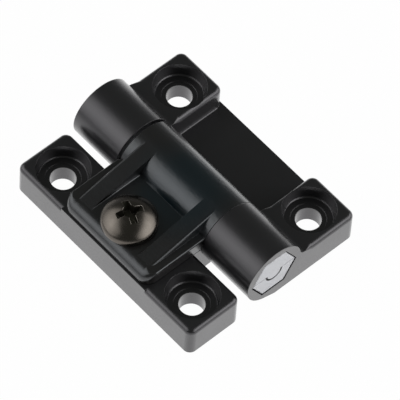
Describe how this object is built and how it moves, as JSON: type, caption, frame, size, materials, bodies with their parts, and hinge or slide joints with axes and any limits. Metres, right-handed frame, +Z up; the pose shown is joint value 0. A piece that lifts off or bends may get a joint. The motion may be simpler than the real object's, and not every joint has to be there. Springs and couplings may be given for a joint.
{
  "type": "torque hinge",
  "caption": "Adjustable-torque hinge lying open flat: two black moulded leaves on a split shaft, with a screwed clamp cover that sets the friction.",
  "frame": {"origin": "on the mounting plane under the pin axis, halfway along the hinge", "axes": "+X along the pin axis, -Y towards the leaf with the adjusting screw, +Z up from the mounting plane; the leaves lie open flat"},
  "size_m": [0.064, 0.054, 0.018],
  "materials": {
    "moulded_black": "satin",
    "shaft_white": "satin",
    "screw_dark_plated": "dark nickel plated",
    "nut_steel": "zinc plated"
  },
  "bodies": {
    "rear": {"rear_leaf": "moulded_black", "shaft_half_upper": "shaft_white", "shaft_half_lower": "shaft_white"},
    "front": {"front_leaf": "moulded_black", "clamp_cover": "moulded_black", "captive_nut": "nut_steel"},
    "screw": {"adjusting_screw": "screw_dark_plated"}
  },
  "joints": [
    {"name": "leaf_fold", "type": "hinge", "parent": "rear", "child": "front", "pos_m": [0, 0, 0.0094], "axis": [1, 0, 0], "range_deg": [-174, 90]},
    {"name": "screw_turn", "type": "hinge", "parent": "front", "child": "screw", "pos_m": [0, -0.0186, 0.013], "axis": [0, 0, 1], "range_deg": [-90, 90]}
  ]
}
